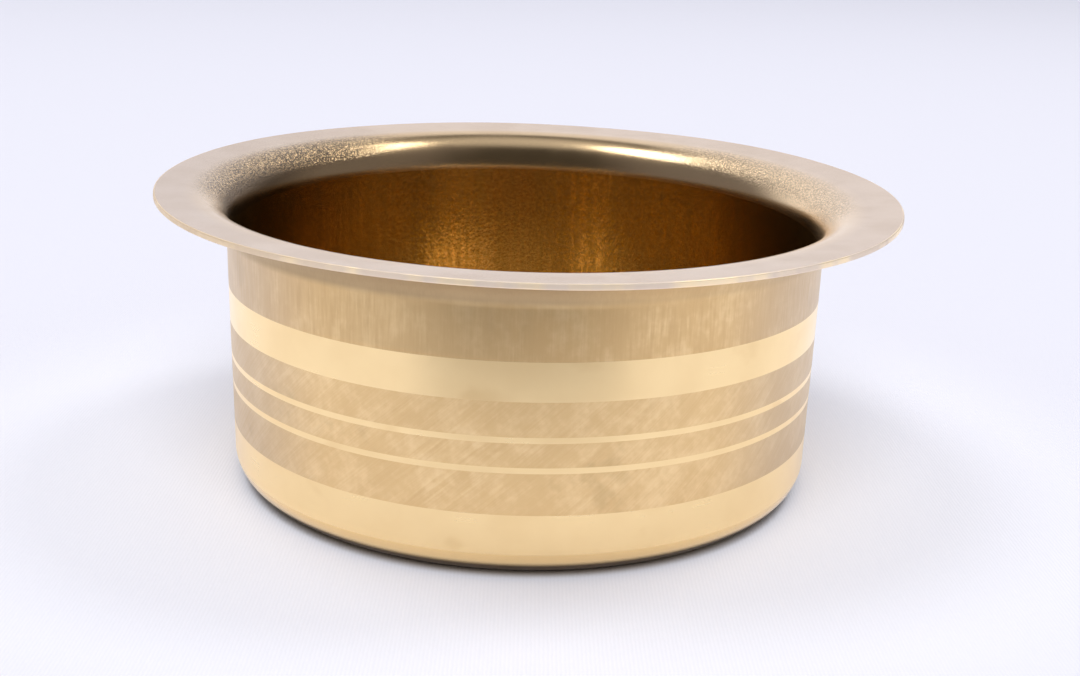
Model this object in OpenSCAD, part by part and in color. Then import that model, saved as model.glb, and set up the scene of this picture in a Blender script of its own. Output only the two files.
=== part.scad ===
// Brass dabara: a low, flat-bottomed coffee bowl with a wide rim, drawn and spun from one round sheet of brass.
//
// The real bowl is a single piece of metal. Here the sheet is divided where it bends and where its outside finish
// changes, so that every stretch with its own form or finish is one closed solid. Neighbours meet face to face over
// the sheet's whole thickness, and nothing moves. All sizes are in millimetres. The origin is the middle of the
// base, on the table, and Z points up through the mouth.

/* [Rim] */
// Outside diameter over the rim's edge
rim_diameter = 110; // [106:1:120]
// Height of the rim's upper edge above the table
rim_height = 44.6; // [42:0.1:48]
// Angle by which the flat rim rises towards its edge, in degrees
rim_slope = 4.5; // [0:0.5:10]
// Bend radius of the shoulder, on the face that one drinks over
shoulder_radius = 6; // [5:0.1:7]
// Rounding of the two corners of the cut edge
edge_rounding = 0.25; // [0.1:0.05:0.28]

/* [Body] */
// Outside diameter of the straight wall
body_diameter = 88.5; // [80:0.5:90]
// Thickness of the brass sheet
sheet = 0.8; // [0.6:0.05:1]
// Outside radius of the bend between the wall and the base
corner_radius = 4.8; // [3:0.1:6]

/* [Bands] */
// Height of the upper edge of the wide polished band
upper_band_top = 30; // [28:0.1:31]
// Width of the wide polished band
upper_band_width = 5.25; // [4:0.05:6]
// Height of the middle of the upper polished line
upper_line_height = 19.65; // [19:0.05:20.5]
// Height of the middle of the lower polished line
lower_line_height = 15.55; // [14.5:0.05:16.5]
// Width of each polished line
line_width = 0.8; // [0.5:0.05:1.2]
// Height of the upper edge of the lower polished band, which runs down to the base's bend
lower_band_top = 9.4; // [8:0.1:11]

/* [Base] */
// Width of the flat ring that the bowl stands on
stand_ring_width = 4; // [3:0.5:8]
// Height by which the middle of the base is pressed up off the table
base_rise = 0.5; // [0.2:0.1:0.8]
// Width of the sloping step between the stand ring and the raised middle
base_step_width = 2; // [1.5:0.5:4]

/* [Hidden] */

$fn = 180;

flange_colour = [0.86, 0.79, 0.71];
shoulder_colour = [0.84, 0.73, 0.56];
matte_colour = [0.78, 0.66, 0.49];
polished_colour = [0.94, 0.82, 0.62];
base_colour = [0.82, 0.69, 0.50];

rim_radius = rim_diameter / 2;
wall_outside = body_diameter / 2;
wall_inside = wall_outside - sheet;

// The shoulder bends about a point outside the wall and under the rim.
shoulder_r = wall_inside + shoulder_radius;
flange_start_r = shoulder_r - shoulder_radius * sin(rim_slope);
flange_start_z = rim_height - (rim_radius - flange_start_r) * tan(rim_slope);
shoulder_z = flange_start_z - shoulder_radius * cos(rim_slope);
flange_length = (rim_radius - flange_start_r) / cos(rim_slope);

// The bend at the base turns about a point inside the wall.
corner_r = wall_outside - corner_radius;

upper_band_bottom = upper_band_top - upper_band_width;
upper_line_top = upper_line_height + line_width / 2;
upper_line_bottom = upper_line_height - line_width / 2;
lower_line_top = lower_line_height + line_width / 2;
lower_line_bottom = lower_line_height - line_width / 2;

step_outer_r = corner_r - stand_ring_width;
step_inner_r = step_outer_r - base_step_width;
step_angle = atan(base_rise / base_step_width);
// The upper face's bends stand a little further out than the lower face's, which keeps the thickness even.
step_shift = sheet * tan(step_angle / 2);

// A bend of the sheet in section: the ring between two circles, kept between two directions less than 180 apart.
module bend_section(outer, inner, from_angle, to_angle) {
    reach = 2 * outer;
    middle = (from_angle + to_angle) / 2;
    intersection() {
        difference() {
            circle(r = outer);
            circle(r = inner);
        }
        polygon([
            [0, 0],
            reach * [cos(from_angle), sin(from_angle)],
            reach * [cos(middle), sin(middle)],
            reach * [cos(to_angle), sin(to_angle)],
        ]);
    }
}

// A stretch of the straight wall between two heights.
module wall_ring(bottom, top) {
    rotate_extrude()
        translate([wall_inside, bottom])
            square([sheet, top - bottom]);
}

// The flat rim in section, lying along X from its inner end, with its two outer corners rounded.
module flange_section() {
    straight = flange_length - edge_rounding;
    translate([0, -sheet])
        square([straight, sheet]);
    translate([0, edge_rounding - sheet])
        square([flange_length, sheet - 2 * edge_rounding]);
    for (depth = [edge_rounding, sheet - edge_rounding])
        translate([straight, -depth])
            circle(r = edge_rounding);
}

// The flat part of the rim, rising gently to its cut edge.
module rim_flange() {
    color(flange_colour)
        rotate_extrude()
            translate([flange_start_r, flange_start_z])
                rotate(rim_slope)
                    flange_section();
}

// The rounded bend over which the wall turns out into the rim.
module rim_shoulder() {
    color(shoulder_colour)
        rotate_extrude()
            translate([shoulder_r, shoulder_z])
                bend_section(shoulder_radius, shoulder_radius - sheet, 90 + rim_slope, 180);
}

// The wall from the shoulder down to the wide polished band.
module upper_matte_band() {
    color(matte_colour)
        wall_ring(upper_band_top, shoulder_z);
}

// The wide polished band.
module upper_polished_band() {
    color(polished_colour)
        wall_ring(upper_band_bottom, upper_band_top);
}

// The wall between the wide polished band and the upper line.
module middle_matte_band() {
    color(matte_colour)
        wall_ring(upper_line_top, upper_band_bottom);
}

// The upper of the two thin polished lines.
module upper_polished_line() {
    color(polished_colour)
        wall_ring(upper_line_bottom, upper_line_top);
}

// The wall between the two thin polished lines.
module centre_matte_band() {
    color(matte_colour)
        wall_ring(lower_line_top, upper_line_bottom);
}

// The lower of the two thin polished lines.
module lower_polished_line() {
    color(polished_colour)
        wall_ring(lower_line_bottom, lower_line_top);
}

// The wall between the lower line and the lower polished band.
module lower_matte_band() {
    color(matte_colour)
        wall_ring(lower_band_top, lower_line_bottom);
}

// The polished band at the foot of the wall.
module lower_polished_band() {
    color(polished_colour)
        wall_ring(corner_radius, lower_band_top);
}

// The bend from the wall into the base.
module base_corner() {
    color(base_colour)
        rotate_extrude()
            translate([corner_r, corner_radius])
                bend_section(corner_radius, corner_radius - sheet, -90, 0);
}

// The base: a flat ring to stand on, with the middle pressed up so that the bowl doesn't rock.
module base_floor() {
    color(base_colour)
        rotate_extrude()
            polygon([
                [0, base_rise],
                [step_inner_r, base_rise],
                [step_outer_r, 0],
                [corner_r, 0],
                [corner_r, sheet],
                [step_outer_r + step_shift, sheet],
                [step_inner_r + step_shift, base_rise + sheet],
                [0, base_rise + sheet],
            ]);
}

rim_flange();
rim_shoulder();
upper_matte_band();
upper_polished_band();
middle_matte_band();
upper_polished_line();
centre_matte_band();
lower_polished_line();
lower_matte_band();
lower_polished_band();
base_corner();
base_floor();
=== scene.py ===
import math

import bpy
import numpy as np
from mathutils import Matrix, Vector


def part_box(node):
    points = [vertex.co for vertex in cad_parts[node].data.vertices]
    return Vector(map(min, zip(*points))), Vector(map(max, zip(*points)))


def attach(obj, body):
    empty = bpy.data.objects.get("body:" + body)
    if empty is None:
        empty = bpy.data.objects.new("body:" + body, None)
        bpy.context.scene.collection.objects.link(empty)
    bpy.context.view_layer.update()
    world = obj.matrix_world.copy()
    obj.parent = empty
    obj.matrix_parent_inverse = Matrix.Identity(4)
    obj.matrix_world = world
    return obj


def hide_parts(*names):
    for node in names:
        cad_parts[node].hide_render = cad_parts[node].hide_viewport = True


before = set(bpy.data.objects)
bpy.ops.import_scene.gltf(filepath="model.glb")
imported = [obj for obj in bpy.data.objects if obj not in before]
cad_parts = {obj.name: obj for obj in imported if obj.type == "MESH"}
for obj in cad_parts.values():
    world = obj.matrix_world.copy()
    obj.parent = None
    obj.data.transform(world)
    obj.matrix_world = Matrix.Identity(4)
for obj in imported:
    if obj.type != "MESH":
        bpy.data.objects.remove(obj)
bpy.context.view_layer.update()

# -------------------------------------------------------------------------------- sizes, in metres
MM = 0.001
AROUND = 288  # divisions round the bowl
SHOULDER_STEPS, CORNER_STEPS, EDGE_STEPS = 28, 24, 5  # divisions of each bend in section
FLANGE_STEPS = 6
UPPER_BAND, SHOULDER, FLANGE = "upper_polished_band", "rim_shoulder", "rim_flange"
CORNER, BASE = "base_corner", "base_floor"


def radii(node):
    """The smallest and the largest distance of a CAD node's corners from the bowl's axis."""
    reach = [math.hypot(v.co.x, v.co.y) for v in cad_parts[node].data.vertices]
    return min(reach), max(reach)


def heights(node):
    """The lowest and the highest point of a CAD node."""
    low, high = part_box(node)
    return low.z, high.z


wall_inside, wall_outside = radii(UPPER_BAND)
sheet = wall_outside - wall_inside
rim_radius = radii(FLANGE)[1]
band_top = heights(UPPER_BAND)[1]
shoulder_z, flange_start_z = heights(SHOULDER)
rim_slope = math.radians(4.5)
shoulder_radius = (flange_start_z - shoulder_z) / math.cos(rim_slope)
shoulder_r = wall_inside + shoulder_radius
flange_start_r = shoulder_r - shoulder_radius * math.sin(rim_slope)
edge_rounding = 0.2 * MM
corner_radius = heights(CORNER)[1]
corner_r = wall_outside - corner_radius
base_rise = heights(BASE)[1] - sheet
stand_ring_width = 4 * MM
base_step_width = 2 * MM

# How the real bowl departs from a true body of revolution: its rim leans a little and sits a little off
# centre, its flange ripples, and its wall grows slightly oval towards the top.
RIM_TILT_X, RIM_TILT_Y = -0.0028, 0.0265
RIM_SHIFT_X = 0.44 * MM
RIM_DROP = 0.25 * MM
RIM_RIPPLE = 0.06 * MM
RIPPLE_WAVES = ((1.0, 3, 0.7), (0.6, 7, 2.1))  # each: share, waves round the rim, phase
WALL_OVAL = 0.0084


# -------------------------------------------------------------------------------- turned shapes
def arc(centre_r, centre_z, radius, start, end, steps, facing=1):
    """Points on a circle in section, each (r, z, normal r, normal z). The normals point away from the
    circle's centre, or to it where facing is -1."""
    points = []
    for angle in np.linspace(math.radians(start), math.radians(end), steps + 1):
        out, up = math.cos(angle), math.sin(angle)
        points.append((centre_r + radius * out, centre_z + radius * up, facing * out, facing * up))
    return points


def line(start, end, steps=1):
    """Points on a straight line in section. The solid lies to the left of the way from start to end."""
    (r0, z0), (r1, z1) = start, end
    length = math.hypot(r1 - r0, z1 - z0)
    normal = ((z1 - z0) / length, (r0 - r1) / length)
    return [(r0 + (r1 - r0) * t, z0 + (z1 - z0) * t, *normal) for t in np.linspace(0, 1, steps + 1)]


def smooth(t):
    """0 below 0, 1 above 1, and an even curve between."""
    t = np.clip(t, 0, 1)
    return t * t * (3 - 2 * t)


def as_made(points):
    """Moves points of the ideal bowl to where the real, slightly uneven one has them."""
    x, y, z = points.T
    above_band = smooth((z - band_top) / (shoulder_z - band_top))
    outward = np.clip((np.hypot(x, y) - wall_outside) / (rim_radius - wall_outside), 0, 1)
    on_rim = smooth(outward)
    turn = np.arctan2(y, x)
    waves = sum(share * np.sin(count * turn + phase) for share, count, phase in RIPPLE_WAVES)
    ripple = RIM_RIPPLE * outward**2 * waves
    lean = above_band * (RIM_TILT_X * x + RIM_TILT_Y * y - RIM_DROP)
    shift = above_band * RIM_SHIFT_X * on_rim
    widened = WALL_OVAL * x * smooth(z / shoulder_z) * (1 - on_rim)
    return np.stack([x + shift + widened, y, z + lean + ripple], axis=1)


def made_normals(points, normals):
    """The normals of the real surface where the ideal one has points and normals."""
    step = 1e-5
    moved = [as_made(points + step * axis) - as_made(points - step * axis) for axis in np.eye(3)]
    jacobian = np.stack(moved, axis=2) / (2 * step)
    turned = np.einsum("nij,nj->ni", np.linalg.inv(jacobian).transpose(0, 2, 1), normals)
    return turned / np.linalg.norm(turned, axis=1)[:, None]


def turn_at(step):
    """The angle round the axis of one of the bowl's divisions."""
    return 2 * math.pi * step / AROUND


def place_key(point):
    """A key that two points of the section share where they are the same place."""
    return round(point[0] / MM, 5), round(point[1] / MM, 5)


def turned_corners(runs):
    """Turns the section's points round the axis. rings gives, for each place in the section, the number of
    its first corner and how many it has, which is one on the axis. corners gives where they all are."""
    rings, corners = {}, []
    for points, _ in runs:
        for point in points:
            if place_key(point) in rings:
                continue
            r, z = point[:2]
            count = AROUND if r > 0 else 1
            rings[place_key(point)] = (len(corners), count)
            corners += [(r * math.cos(turn_at(k)), r * math.sin(turn_at(k)), z) for k in range(count)]
    return rings, corners


def faces_between(rings, a, b):
    """The faces between the rings of two points. Each corner of one is (number, point in section, turn)."""
    (first, count_a), (second, count_b) = rings[place_key(a)], rings[place_key(b)]
    for k in range(AROUND):
        here, there = turn_at(k), turn_at(k + 1)
        after = (k + 1) % AROUND
        face = [
            (first + k % count_a, a, here),
            (first + after % count_a, a, there),
            (second + after % count_b, b, there),
            (second + k % count_b, b, here),
        ]
        if count_a == 1:
            face.pop(1)
        if count_b == 1:
            face.pop(2)
        yield face


def add_object(name, data):
    """A new object in the scene."""
    made = bpy.data.objects.new(name, data)
    bpy.context.scene.collection.objects.link(made)
    return made


def turned_piece(name, runs):
    """A closed ring or disc turned from a section. runs go anticlockwise round the section, and each is
    (points, material). One run ends where the next starts, or on the axis."""
    rings, corners = turned_corners(runs)
    finishes = list(dict.fromkeys(material for _, material in runs))
    faces, finish_of_face, ideal_points, ideal_normals = [], [], [], []
    for points, material in runs:
        for a, b in zip(points, points[1:]):
            for face in faces_between(rings, a, b):
                faces.append([number for number, _, _ in face])
                finish_of_face.append(finishes.index(material))
                for number, (_, _, normal_r, normal_z), turn in face:
                    ideal_points.append(corners[number])
                    ideal_normals.append((normal_r * math.cos(turn), normal_r * math.sin(turn), normal_z))
    mesh = bpy.data.meshes.new(name)
    mesh.from_pydata([tuple(p) for p in as_made(np.array(corners))], [], faces)
    for material in finishes:
        mesh.materials.append(material)
    mesh.polygons.foreach_set("material_index", finish_of_face)
    mesh.polygons.foreach_set("use_smooth", [True] * len(faces))
    normals = made_normals(np.array(ideal_points), np.array(ideal_normals))
    mesh.normals_split_custom_set([tuple(n) for n in normals])
    mesh.update()
    return add_object(name, mesh)


def stand_for(node, slot, runs):
    """A turned piece that takes a CAD node's place. slot is not used."""
    piece = turned_piece("bowl_" + node, runs)
    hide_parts(node)
    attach(piece, "root")


# -------------------------------------------------------------------------------- materials
COLOUR_A, COLOUR_B, COLOUR_RESULT = 6, 7, 2  # a Mix node's sockets for colours


class Nodes:
    """A node tree and its shader, with a short method for each kind of node used here. In the functions
    below, s is the surface that is being made and w is the world."""

    def __init__(self, tree, shader):
        self.tree = tree
        self.shader = tree.nodes[shader]

    def node(self, kind, **settings):
        made = self.tree.nodes.new(kind)
        for name, value in settings.items():
            setattr(made, name, value)
        return made

    def feed(self, socket, value):
        if isinstance(value, bpy.types.NodeSocket):
            self.tree.links.new(value, socket)
        else:
            socket.default_value = value

    def maths(self, operation, *values):
        made = self.node("ShaderNodeMath", operation=operation)
        for socket, value in zip(made.inputs, values):
            self.feed(socket, value)
        return made.outputs[0]

    def product(self, total, *factors):
        for factor in factors:
            total = self.maths("MULTIPLY", total, factor)
        return total

    def weighted(self, *shares):
        """The sum of pairs (value, weight)."""
        total = 0.0
        for value, weight in shares:
            total = self.maths("MULTIPLY_ADD", value, weight, total)
        return total

    def split(self, vector):
        """The vector's X, Y and Z."""
        made = self.node("ShaderNodeSeparateXYZ")
        self.feed(made.inputs[0], vector)
        return made.outputs

    def ranged(self, value, low, high, to_low=0, to_high=1):
        """value, carried from low..high to to_low..to_high and held there."""
        made = self.node("ShaderNodeMapRange", interpolation_type="SMOOTHSTEP")
        self.feed(made.inputs["Value"], value)
        for name, number in zip(("From Min", "From Max", "To Min", "To Max"), (low, high, to_low, to_high)):
            made.inputs[name].default_value = number
        return made.outputs["Result"]

    def mixed(self, share, first, second):
        """The first colour where the share is 0, and the second where it is 1."""
        made = self.node("ShaderNodeMix", data_type="RGBA")
        self.feed(made.inputs["Factor"], share)
        for index, value in ((COLOUR_A, first), (COLOUR_B, second)):
            self.feed(made.inputs[index], (*value, 1) if isinstance(value, tuple) else value)
        return made.outputs[COLOUR_RESULT]

    def layered(self, colour, *layers):
        """A colour under layers, each (its share, its own colour)."""
        for share, over in layers:
            colour = self.mixed(share, colour, over)
        return colour


class Surface(Nodes):
    """A material. Its place is a point in the shared frame, and its radius that point's distance from
    the bowl's axis."""

    def __init__(self, name, **settings):
        self.material = bpy.data.materials.new(name)
        self.material.use_nodes = True
        super().__init__(self.material.node_tree, "Principled BSDF")
        for socket, value in settings.items():
            self.shader.inputs[socket.replace("_", " ")].default_value = value
        self.place = self.node("ShaderNodeTexCoord").outputs["Object"]

    def radius(self):
        made = self.node("ShaderNodeVectorMath", operation="LENGTH")
        self.feed(made.inputs[0], self.stretched(1, 1, 0))
        return made.outputs["Value"]

    def stretched(self, x, y, z, place=None):
        """A place, scaled along each axis. A noise then has about that many lumps a metre along it."""
        made = self.node("ShaderNodeVectorMath", operation="MULTIPLY")
        self.feed(made.inputs[0], place or self.place)
        made.inputs[1].default_value = (x, y, z)
        return made.outputs[0]

    def twisted(self, turn_per_metre):
        """The place, turned about the bowl's axis by an angle that grows with height."""
        made = self.node("ShaderNodeVectorRotate", rotation_type="Z_AXIS")
        self.feed(made.inputs["Vector"], self.place)
        self.feed(made.inputs["Angle"], self.maths("MULTIPLY", self.split(self.place)["Z"], turn_per_metre))
        return made.outputs[0]

    def noise(self, place, scale=1.0, detail=2.0, roughness=0.5):
        """Noise with about scale lumps a metre, mostly between 0.3 and 0.7. The place is scaled, because
        the node's own Scale stops at 1000."""
        made = self.node("ShaderNodeTexNoise")
        self.feed(made.inputs["Vector"], self.stretched(scale, scale, scale, place))
        made.inputs["Scale"].default_value = 1.0
        made.inputs["Detail"].default_value = detail
        made.inputs["Roughness"].default_value = roughness
        return made.outputs["Fac"]

    def bumped(self, height, depth, normal=None):
        """The normal with a relief of that depth in metres between height 0 and 1."""
        made = self.node("ShaderNodeBump")
        made.inputs["Strength"].default_value = 1.0
        made.inputs["Distance"].default_value = depth
        self.feed(made.inputs["Height"], height)
        if normal is not None:
            self.feed(made.inputs["Normal"], normal)
        return made.outputs[0]

    def radial_tangent(self):
        return self.node("ShaderNodeTangent", direction_type="RADIAL", axis="Z").outputs[0]

    def finish(self, **links):
        """Feeds the shader's sockets, named with _ for a space, and returns the material."""
        for name, value in links.items():
            self.feed(self.shader.inputs[name.replace("_", " ")], value)
        return self.material


# Windows on a noise: nearly all of it, its broad rise, and its few peaks
WHOLE = (0.3, 0.7)
BROAD = (0.35, 0.75)
PEAKS = (0.60, 0.74)

# Colours of clean brass, of what skin, wear and smudges leave of it, and of painted shade and painted
# reflections on it
BRASS = (1.0, 0.758, 0.405)
TARNISHED = (0.84, 0.58, 0.27)
# Painted shade: the dark band at the bowl's foot, for the shadowed gap under the bowl mirrored in the
# corner
BASE_SHADE = (0.06, 0.038, 0.022)
SMUDGE = (0.60, 0.42, 0.20)
# Painted shade on the matte wall towards the bowl's left and right sides
SIDE_SHADE = (0.57, 0.455, 0.33)
DULLED = (0.56, 0.40, 0.205)
# Painted shade close under the rim
SHADE_UNDER_RIM = (0.44, 0.31, 0.165)
RIM_SKIN, RIM_SKIN_DARKER, RIM_SKIN_LEFT = (0.68, 0.514, 0.348), (0.605, 0.453, 0.305), (0.54, 0.415, 0.30)
BEND_LEFT, BEND_RIGHT = (0.82, 0.60, 0.33), (1.0, 0.76, 0.46)
# Painted shade at the left end of the bend's inner lip
LIP_SHADE = (0.22, 0.155, 0.09)
# Painted shade in the orange peel's spots, for facets that mirror the dark room
PEEL_SHADE = (0.20, 0.145, 0.095)
# The cut edge: torn colour, a painted yellow reflection on its left part, and worn spots painted bright as
# glints
TORN, LEFT_EDGE_REFLECTION, WORN_EDGE_GLINT = (0.82, 0.69, 0.57), (0.74, 0.56, 0.34), (0.98, 0.79, 0.52)
INSIDE_BRIGHT, INSIDE_DULL, INSIDE_GRAIN = (0.91, 0.67, 0.32), (0.67, 0.475, 0.19), (0.50, 0.34, 0.12)

ROUND_THE_BOWL = 0.25  # the anisotropy's turn where scratches run round the bowl and not along its axis
RINGS_A_METRE = 5000
crease_height = 3.85 * MM  # where the tool that cut the lowest band stopped
# Height of the band of painted shade round the bowl's foot
base_shade_height = 2.2 * MM
dull_patch_x = -14 * MM  # the wall is dullest a little left of its middle


def brass_surface(name, anisotropy=0.0, rotation=0.0, haze=0.0):
    """Brass whose scratches run along the bowl's axis, or round it when rotation is a quarter. haze is the
    share of a thin clear skin, which pales the metal where it is seen edge on."""
    s = Surface(
        name, Metallic=1.0, Anisotropic=anisotropy, Anisotropic_Rotation=rotation, Coat_Weight=haze,
        Coat_Roughness=0.25
    )
    if anisotropy:
        s.feed(s.shader.inputs["Tangent"], s.radial_tangent())
    return s


def polished_brass():
    """Bright bands, cut with a tool as the bowl turned: fine level lines, faint blotches and a few soft
    stains. The lowest cut ends in a crease on the corner, and painted shade darkens it where the bowl
    stands."""
    s = brass_surface("polished_brass", anisotropy=0.7, rotation=ROUND_THE_BOWL, haze=0.1)
    height = s.split(s.place)["Z"]
    lines = s.noise(s.stretched(40, 40, 5500), detail=2)
    blotches = s.noise(s.place, scale=150, detail=3)
    stain = s.ranged(s.noise(s.stretched(1, 1, 1.6), scale=95, detail=3), *PEAKS)
    below_crease = s.ranged(height, crease_height - 0.15 * MM, crease_height + 0.05 * MM, 1, 0)
    # Painted shade round the bowl's foot, darker and rougher towards the bottom
    base_shade = s.ranged(height, base_shade_height - 0.6 * MM, base_shade_height + 0.4 * MM, 0.95, 0)
    colour = s.layered(
        BRASS,
        (s.ranged(blotches, *BROAD, 0, 0.18), TARNISHED),
        (s.product(stain, 0.35), TARNISHED),
        (s.product(below_crease, 0.6), TARNISHED),
        (base_shade, BASE_SHADE),
    )
    rough = s.weighted(
        (s.ranged(lines, *WHOLE, 0.255, 0.275), 1),
        (blotches, 0.05),
        (stain, 0.04),
        (below_crease, -0.12),
        (base_shade, 0.4),
    )
    normal = s.bumped(lines, 0.0002 * MM)
    normal = s.bumped(s.noise(s.place, scale=160, detail=2), 0.02 * MM, normal)
    return s.finish(Base_Color=colour, Roughness=rough, Normal=normal)


def brushed_brass(name, twist, streak_share, bright, dull, smoothest):
    """The matte wall: fine short scratches left by an abrasive, with clouds and a few smudges. Painted
    shade greys it at the bowl's sides and darkens it close under the rim, and above the upper band it is
    darker left of the middle. twist is how far the scratches turn round the axis in a metre of height, in
    radians, and smoothest is the least roughness."""
    s = brass_surface(name, anisotropy=0.25, haze=0.25)
    across, _, height = s.split(s.place)
    aside = s.maths("ABSOLUTE", across)
    from_patch = s.maths("ABSOLUTE", s.maths("SUBTRACT", across, dull_patch_x))
    place = s.twisted(twist) if twist else s.place
    fine = s.noise(s.stretched(3600, 3600, 190, place), detail=3, roughness=0.6)
    broad = s.noise(s.stretched(900, 900, 60, place), detail=3)
    clouds = s.noise(s.place, scale=210, detail=4)
    mottle = s.noise(s.place, scale=900, detail=3)
    smudges = s.noise(s.place, scale=130, detail=4)
    shade = s.weighted(
        (fine, streak_share),
        (broad, streak_share),
        (clouds, 0.5),
        (mottle, 0.5 - streak_share),
    )
    above_band = s.ranged(height, band_top - MM, band_top + MM)
    # Painted shade close under the rim, strongest left of the middle
    shade_under_rim = s.ranged(height, shoulder_z - 1.45 * MM, shoulder_z - 0.3 * MM)
    colour = s.layered(
        bright,
        (s.ranged(shade, 0.38, 0.66, 0, 0.9), dull),
        (s.ranged(smudges, *PEAKS, 0, 0.4), SMUDGE),
        # Painted shade, greying the wall towards its sides
        (s.ranged(aside, 24 * MM, 38 * MM, 0, 0.55), SIDE_SHADE),
        (s.product(above_band, 0.4, s.ranged(from_patch, 4 * MM, 20 * MM, 1, 0)), DULLED),
        (s.product(shade_under_rim, s.ranged(from_patch, 16 * MM, 34 * MM, 1, 0.4)), SHADE_UNDER_RIM),
    )
    rough = s.weighted((s.ranged(fine, *WHOLE, smoothest, smoothest + 0.13), 1), (clouds, 0.12))
    normal = s.bumped(s.weighted((fine, 0.6), (mottle, 0.4)), 0.005 * MM)
    normal = s.bumped(s.noise(s.place, scale=140, detail=2), 0.025 * MM, normal)
    return s.finish(Base_Color=colour, Roughness=rough, Normal=normal)


def rim_brass():
    """The rim and shoulder as they came off the tool: duller at the left, bright and yellow round the bend,
    with painted shade at the bend's left end. Where the sheet was stretched round the bend it has orange
    peel,
    speckled with painted shade: strong at the bowl's sides, most at the left, and faint in its front and
    back."""
    s = brass_surface("rim_brass")
    across, along, _ = s.split(s.place)
    aside = s.maths("ABSOLUTE", across)
    outward = s.maths("SUBTRACT", s.radius(), wall_inside)
    peel = s.product(
        s.ranged(outward, 0.4 * MM, 1.6 * MM),
        s.ranged(outward, 3.0 * MM, 7.2 * MM, 1, 0.04),
        s.ranged(aside, 20 * MM, 36 * MM, 0.08, 1),
        s.ranged(along, -17 * MM, -3 * MM, 0.1, 1),
        s.ranged(across, -30 * MM, 5 * MM, 1, 0.5),
    )
    # Painted shade on the bend's inner lip, at its left end
    lip_shade = s.product(
        s.ranged(outward, 0.8 * MM, 2.6 * MM, 0.8, 0),
        s.ranged(across, -43 * MM, -34 * MM, 1, 0),
    )
    grain = s.noise(s.place, scale=3400, detail=2, roughness=0.6)
    patches = s.noise(s.place, scale=120, detail=3)
    bend_colour = s.mixed(s.ranged(across, 12 * MM, 34 * MM), BEND_LEFT, BEND_RIGHT)
    colour = s.layered(
        RIM_SKIN,
        (s.ranged(patches, *BROAD, 0, 0.5), RIM_SKIN_DARKER),
        (s.ranged(across, -50 * MM, -25 * MM, 0.55, 0), RIM_SKIN_LEFT),
        (s.ranged(outward, 2.5 * MM, 7.5 * MM, 0.8, 0), bend_colour),
        (lip_shade, LIP_SHADE),
        # Painted shade: dark spots on the orange peel
        (s.product(s.ranged(grain, 0.42, 0.58, 0, 0.95), peel), PEEL_SHADE),
    )
    rough = s.weighted((s.ranged(patches, *WHOLE, 0.18, 0.24), 1), (grain, 0.04))
    normal = s.bumped(s.product(s.maths("SUBTRACT", grain, 0.5), peel), 0.2 * MM)
    return s.finish(Base_Color=colour, Roughness=rough, Normal=normal)


def cut_brass():
    """The sheared edge of the rim: torn fine and pale, with a painted yellow reflection towards the left,
    and worn spots that are smoother and painted bright yellow as glints.
    """
    s = Surface("cut_brass", Metallic=0.5)
    across = s.split(s.place)["X"]
    # Worn spots, which are smoother and which are also painted bright as glints
    wear_and_glints = s.noise(s.stretched(1, 1, 0), scale=170, detail=3)
    colour = s.layered(
        TORN,
        # Painted highlight: worn spots painted bright yellow as the edge's glints
        (s.ranged(wear_and_glints, 0.42, 0.68), WORN_EDGE_GLINT),
        # Painted reflection: the edge's left part tinted yellow
        (s.ranged(across, -42 * MM, -8 * MM, 0.65, 0), LEFT_EDGE_REFLECTION),
    )
    rough = s.ranged(wear_and_glints, 0.40, 0.62, 0.6, 0.35)
    normal = s.bumped(s.noise(s.place, scale=2600, detail=2), 0.012 * MM)
    return s.finish(Base_Color=colour, Roughness=rough, Normal=normal)


def inside_brass():
    """The inside of the wall: bright under the tarnish, with upright draw marks and a fine grain."""
    s = brass_surface("inside_brass", anisotropy=0.6, rotation=ROUND_THE_BOWL)
    streaks = s.noise(s.stretched(1200, 1200, 40), detail=3)
    grain = s.noise(s.place, scale=1800, detail=3)
    colour = s.layered(
        INSIDE_BRIGHT,
        (s.ranged(streaks, 0.32, 0.68), INSIDE_DULL),
        (s.ranged(grain, 0.42, 0.60, 0, 0.4), INSIDE_GRAIN),
    )
    rough = s.ranged(streaks, *WHOLE, 0.13, 0.2)
    return s.finish(Base_Color=colour, Roughness=rough, Normal=s.bumped(grain, 0.04 * MM))


def base_brass(name, bright, dull, smoothest):
    """A face of the base: drawn metal with faint rings from the spinning tool."""
    s = brass_surface(name, anisotropy=0.3, rotation=ROUND_THE_BOWL)
    outward = s.node("ShaderNodeCombineXYZ")
    s.feed(outward.inputs["X"], s.product(s.radius(), RINGS_A_METRE))
    rings = s.noise(outward.outputs[0], detail=3)
    patches = s.noise(s.place, scale=90, detail=4)
    colour = s.mixed(s.ranged(patches, *BROAD), bright, dull)
    rough = s.weighted((s.ranged(patches, *WHOLE, smoothest, smoothest + 0.14), 1), (rings, 0.05))
    return s.finish(Base_Color=colour, Roughness=rough, Normal=s.bumped(rings, 0.003 * MM))


polished = polished_brass()
upright = brushed_brass(
    "upright_brushed_brass", twist=0, streak_share=0.22, smoothest=0.29,
    bright=(0.87, 0.63, 0.325), dull=(0.73, 0.495, 0.23)
)
slanting = brushed_brass(
    "slanting_brushed_brass", twist=-25, streak_share=0.14, smoothest=0.33,
    bright=(0.94, 0.695, 0.375), dull=(0.83, 0.585, 0.285)
)
rim = rim_brass()
cut_edge = cut_brass()
inside = inside_brass()
inside_floor = base_brass(
    "inside_floor_brass", bright=(0.82, 0.58, 0.26), dull=(0.72, 0.49, 0.20), smoothest=0.14
)
base = base_brass("base_brass", bright=(0.88, 0.66, 0.35), dull=TARNISHED, smoothest=0.26)


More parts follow.
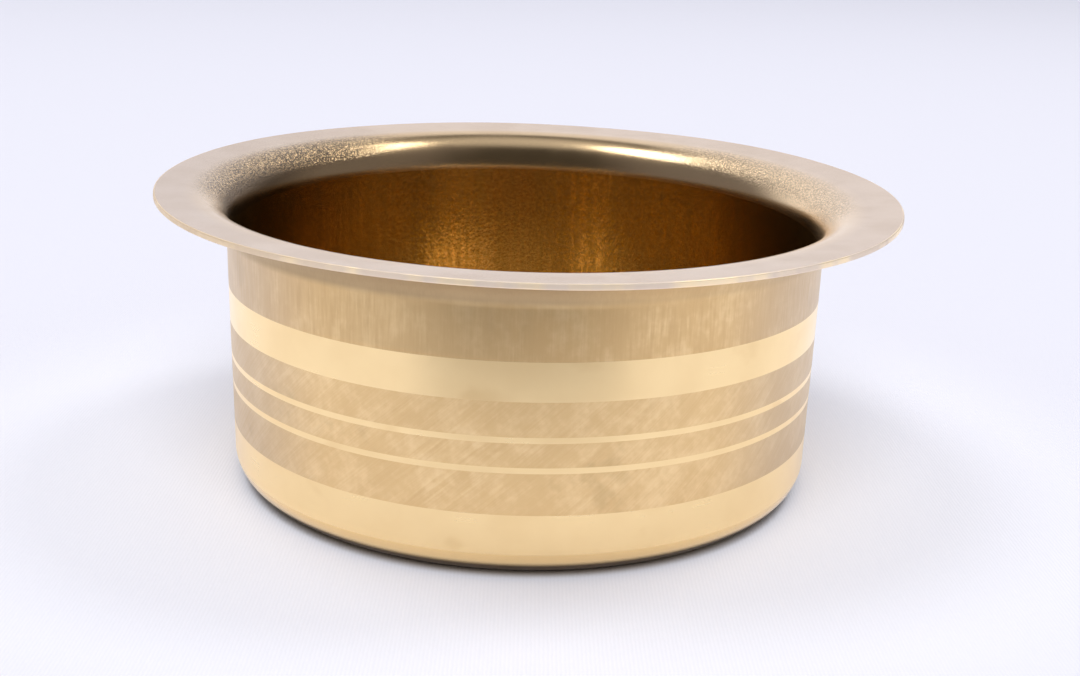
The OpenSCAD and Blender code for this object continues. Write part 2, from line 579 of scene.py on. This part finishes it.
# -------------------------------------------------------------------------------- the bowl
def wall_piece(node, slot, outer_material, rows):
    """A stretch of the straight wall, through the whole thickness of the sheet."""
    low, high = heights(node)
    runs = [
        (line((wall_inside, low), (wall_outside, low)), inside),
        (line((wall_outside, low), (wall_outside, high), rows), outer_material),
        (line((wall_outside, high), (wall_inside, high)), inside),
        (line((wall_inside, high), (wall_inside, low), rows), inside),
    ]
    stand_for(node, slot, runs)


def shoulder_piece():
    """The bend from the wall into the rim."""
    flange_end = 90 + math.degrees(rim_slope)
    under_radius = shoulder_radius - sheet
    under_face = arc(shoulder_r, shoulder_z, under_radius, 180, flange_end, SHOULDER_STEPS, facing=-1)
    top_face = arc(shoulder_r, shoulder_z, shoulder_radius, flange_end, 180, SHOULDER_STEPS)
    runs = [
        (line(top_face[-1][:2], under_face[0][:2]), rim),
        (under_face, upright),
        (line(under_face[-1][:2], top_face[0][:2]), rim),
        (top_face, rim),
    ]
    stand_for(SHOULDER, "rim_brass", runs)


def raised(points):
    """Points drawn level, outwards from the flange's inner end, turned up by the rim's slope."""
    out, up = math.cos(rim_slope), math.sin(rim_slope)
    placed = []
    for r, z, normal_r, normal_z in points:
        place = (flange_start_r + r * out - z * up, flange_start_z + r * up + z * out)
        placed.append((*place, normal_r * out - normal_z * up, normal_r * up + normal_z * out))
    return placed


def flange_piece():
    """The flat of the rim and its cut edge."""
    length = (rim_radius - flange_start_r) / math.cos(rim_slope)
    straight = length - edge_rounding
    top, bottom = -edge_rounding, edge_rounding - sheet
    level = [
        (line((0, 0), (0, -sheet)), rim),
        (line((0, -sheet), (straight, -sheet), FLANGE_STEPS), rim),
        (arc(straight, bottom, edge_rounding, -90, 0, EDGE_STEPS), cut_edge),
        (line((length, bottom), (length, top)), cut_edge),
        (arc(straight, top, edge_rounding, 0, 90, EDGE_STEPS), cut_edge),
        (line((straight, 0), (0, 0), FLANGE_STEPS), rim),
    ]
    stand_for(FLANGE, "rim_brass", [(raised(points), material) for points, material in level])


def corner_piece():
    """The bend from the wall into the base."""
    outer = arc(corner_r, corner_radius, corner_radius, -90, 0, CORNER_STEPS)
    inner = arc(corner_r, corner_radius, corner_radius - sheet, 0, -90, CORNER_STEPS, facing=-1)
    runs = [
        (outer, polished),
        (line(outer[-1][:2], inner[0][:2]), inside),
        (inner, inside),
        (line(inner[-1][:2], outer[0][:2]), base),
    ]
    stand_for(CORNER, "polished_brass", runs)


def base_section():
    """The base's underside in section: flat where it stands, and pressed up a little in the middle."""
    step_outer = corner_r - stand_ring_width
    step_inner = step_outer - base_step_width
    margin = 4 * MM  # between the middle, or the step, and the nearest of the rings that divide the flat
    flat = np.linspace(margin, step_inner - margin, 6)
    step = np.linspace(step_inner, step_outer, 11)
    stand_ring = np.linspace(step_outer + MM, corner_r, 3)
    points = []
    for r in (0, *flat, *step, *stand_ring):
        t = min(max((step_outer - r) / base_step_width, 0), 1)
        slope = -6 * t * (1 - t) * base_rise / base_step_width  # that of the smooth step at t
        size = math.hypot(slope, 1)
        points.append((r, base_rise * float(smooth(t)), slope / size, -1 / size))
    return points


def base_piece():
    """The base, at the sheet's thickness all over."""
    under = base_section()
    upper = [(r, z + sheet, -normal_r, -normal_z) for r, z, normal_r, normal_z in reversed(under)]
    runs = [
        (under, base),
        (line(under[-1][:2], upper[0][:2]), base),
        (upper, inside_floor),
    ]
    stand_for(BASE, "base_brass", runs)


# The wall's stretches from the top down: node, slot, outer face, and how many rows of faces it has
WALL = (
    ("upper_matte_band", "matte_brass", upright, 10),
    (UPPER_BAND, "polished_brass", polished, 3),
    ("middle_matte_band", "matte_brass", slanting, 3),
    ("upper_polished_line", "polished_brass", polished, 1),
    ("centre_matte_band", "matte_brass", slanting, 2),
    ("lower_polished_line", "polished_brass", polished, 1),
    ("lower_matte_band", "matte_brass", slanting, 3),
    ("lower_polished_band", "polished_brass", polished, 3),
)

flange_piece()
shoulder_piece()
for stretch in WALL:
    wall_piece(*stretch)
corner_piece()
base_piece()


# -------------------------------------------------------------------------------- floor and light
LAMP_DISTANCE = 2.0
LAMP_COLOUR = (1.0, 0.985, 0.96)
BACKDROP = (1.0, 1.01, 1.12)
CEILING = (0.66, 0.66, 0.70)
DARK_ROOM = (0.06, 0.055, 0.05)
DIM_SIDES = (0.17, 0.16, 0.17)
ALL_ROUND_LIGHT = (0.485, 0.49, 0.53)
BEYOND_FLOOR = (0.87, 0.87, 0.96)
# The cloth is lighter near the bowl than far off: painted light round the bowl
CLOTH_NEAR_PAINTED_LIGHT, CLOTH_FAR, CLOTH_MIRRORED = (0.84, 0.85, 0.92), (0.74, 0.74, 0.815), (0.88, 0.88, 0.94)
CLOTH_GAPS = (0.4, 0.4, 0.45)
# Painted brown shade on the cloth where it meets the bowl
CLOTH_CONTACT_SHADE = (0.36, 0.27, 0.18)
RIB_SCALE = 628  # one rib each half millimetre
FLOOR_HALF = 6.0

# Where one part of the mirrored room gives way to the next. Heights are how far up a direction of length 1
# goes, and spreads are shares of its level part.
SIDES_SPREAD = (0.4, 0.85)
CEILING_HEIGHT = (0.87, 1.02)
BACKDROP_SPREAD = (0.5, 0.92)
BACKDROP_HEIGHT = (0.89, 0.76)
BACKDROP_TURN = -0.2


def flat_sheet(name, corners, material):
    """A level sheet with four corners."""
    mesh = bpy.data.meshes.new(name)
    mesh.from_pydata(corners, [], [(0, 1, 2, 3)])
    mesh.materials.append(material)
    return add_object(name, mesh)


def cloth():
    """White cloth with fine ribs running away from the camera. Painted light makes it lighter near the
    bowl, and painted shade browns it close to the bowl's foot. The metal mirrors it plain."""
    s = Surface("white_cloth", Roughness=0.85)
    thread = s.node("ShaderNodeTexWave", wave_type="BANDS", bands_direction="X")
    s.feed(thread.inputs["Vector"], s.place)
    for name, number in (("Scale", RIB_SCALE), ("Distortion", 1.6), ("Detail", 2), ("Detail Scale", 2)):
        thread.inputs[name].default_value = number
    slub = s.noise(s.place, scale=900, detail=2)
    weave = s.weighted((thread.outputs["Fac"], 0.5), (slub, 0.5))
    to_camera = s.node("ShaderNodeLightPath").outputs["Is Camera Ray"]
    radius = s.radius()
    # Painted shade on the cloth round the bowl's foot
    contact_shade = s.ranged(radius, corner_r + 1.6 * MM, corner_r + 4.0 * MM, 0.85, 0)
    # What the camera sees: painted light near the bowl fading outwards, and painted brown shade at the
    # bowl's foot
    seen = s.layered(
        CLOTH_NEAR_PAINTED_LIGHT,
        (s.ranged(radius, 50 * MM, 120 * MM), CLOTH_FAR),
        (contact_shade, CLOTH_CONTACT_SHADE),
        (s.ranged(weave, *WHOLE, 0.05, 0), CLOTH_GAPS),
    )
    colour = s.mixed(to_camera, CLOTH_MIRRORED, seen)
    return s.finish(Base_Color=colour, Normal=s.bumped(weave, 0.03 * MM))


def lay_floor():
    corners = [(x * FLOOR_HALF, y * FLOOR_HALF, 0) for x, y in ((-1, -1), (1, -1), (1, 1), (-1, 1))]
    floor = flat_sheet("floor", corners, cloth())


def shade_sheet():
    """A dark sheet in front of the bowl and under the camera. Only the metal sees it, as painted shade."""
    near, far, half = -138 * MM, -600 * MM, 100 * MM
    corners = [(-half, near, MM), (half, near, MM), (3 * half, far, MM), (-3 * half, far, MM)]
    s = Surface("shade_sheet", Base_Color=(0.08, 0.08, 0.08, 1), Roughness=0.9)
    card = flat_sheet("shade_sheet", corners, s.material)
    card.visible_camera = False
    card.visible_diffuse = False
    card.visible_shadow = False


def softbox(name, azimuth, zenith_angle, width, length, power):
    """A soft oval lamp facing the bowl. Its azimuth goes from +Y towards +X. Both angles are in degrees."""
    lamp = bpy.data.lights.new(name, "AREA")
    lamp.shape = "ELLIPSE"
    lamp.size, lamp.size_y = width, length
    lamp.energy = power
    lamp.color = LAMP_COLOUR
    turn, lean = math.radians(azimuth), math.radians(zenith_angle)
    outward = Vector((math.sin(lean) * math.sin(turn), math.sin(lean) * math.cos(turn), math.cos(lean)))
    made = add_object(name, lamp)
    made.location = outward * LAMP_DISTANCE
    made.rotation_mode = "QUATERNION"
    made.rotation_quaternion = outward.to_track_quat("Z", "Y")


def front_light():
    """A soft sun over the camera, which lights the cloth and which the metal doesn't mirror."""
    sun = bpy.data.lights.new("front_light", "SUN")
    sun.energy = 1.87
    sun.angle = math.radians(40)
    front = add_object("front_light", sun)
    front.rotation_euler = (math.radians(42), 0, 0)
    front.visible_glossy = False


def mirrored_room(w):
    """What the metal mirrors, by direction: white cloth rising behind the bowl and turned a little to the
    left, a grey ceiling, dim sides, and dark on the camera's side."""
    x, y, up = w.split(w.node("ShaderNodeTexCoord").outputs["Generated"])
    level = w.maths("SQRT", w.maths("ADD", w.product(x, x), w.product(y, y)))
    behind = w.maths("DIVIDE", w.maths("ADD", y, w.product(x, BACKDROP_TURN)), level)
    aside = w.maths("DIVIDE", w.maths("ABSOLUTE", x), level)
    backdrop = w.product(w.ranged(behind, *BACKDROP_SPREAD), w.ranged(up, *BACKDROP_HEIGHT))
    return w.layered(
        DARK_ROOM,
        (w.ranged(aside, *SIDES_SPREAD), DIM_SIDES),
        (w.ranged(up, *CEILING_HEIGHT), CEILING),
        (backdrop, BACKDROP),
    )


def light_room():
    """Even light from all round for the cloth, a room for the metal to mirror, two soft lamps and a front
    light."""
    world = bpy.data.worlds.new("studio")
    bpy.context.scene.world = world
    world.use_nodes = True
    w = Nodes(world.node_tree, "Background")
    path = w.node("ShaderNodeLightPath").outputs
    scattered = w.maths("MINIMUM", path["Diffuse Depth"], 1.0)
    colour = w.layered(
        mirrored_room(w),
        (scattered, ALL_ROUND_LIGHT),
        (path["Is Camera Ray"], BEYOND_FLOOR),
    )
    w.feed(w.shader.inputs["Color"], colour)
    softbox("softbox_right", azimuth=76, zenith_angle=30, width=0.55, length=0.65, power=6.5)
    softbox("softbox_left", azimuth=270, zenith_angle=24, width=0.80, length=0.75, power=8)
    front_light()
    # A dark sheet that the metal mirrors as painted shade
    shade_sheet()


def set_camera():
    """The camera, placed from the rim's radius. It looks a little above the base's middle."""
    distance, height_angle = 4.083 * rim_radius, math.radians(21.49)
    pan, tilt, roll = math.radians(-0.70), math.radians(4.90), math.radians(-1.65)
    position = Vector((0, -math.cos(height_angle), math.sin(height_angle))) * distance
    forward = -position.normalized()
    right = forward.cross(Vector((0, 0, 1))).normalized()
    up = right.cross(forward)
    forward = Matrix.Rotation(tilt, 3, right) @ (Matrix.Rotation(pan, 3, up) @ forward)
    right = Matrix.Rotation(roll, 3, forward) @ (Matrix.Rotation(pan, 3, up) @ right)
    up = right.cross(forward)
    data = bpy.data.cameras.new("camera")
    data.sensor_width = 36
    data.lens = 46.6
    data.clip_start = 0.01
    data.clip_end = 50
    camera = add_object("camera", data)
    camera.matrix_world = Matrix.Translation(position) @ Matrix((right, up, -forward)).transposed().to_4x4()
    bpy.context.scene.camera = camera


lay_floor()
light_room()
set_camera()
bpy.context.scene.view_settings.view_transform = "Standard"
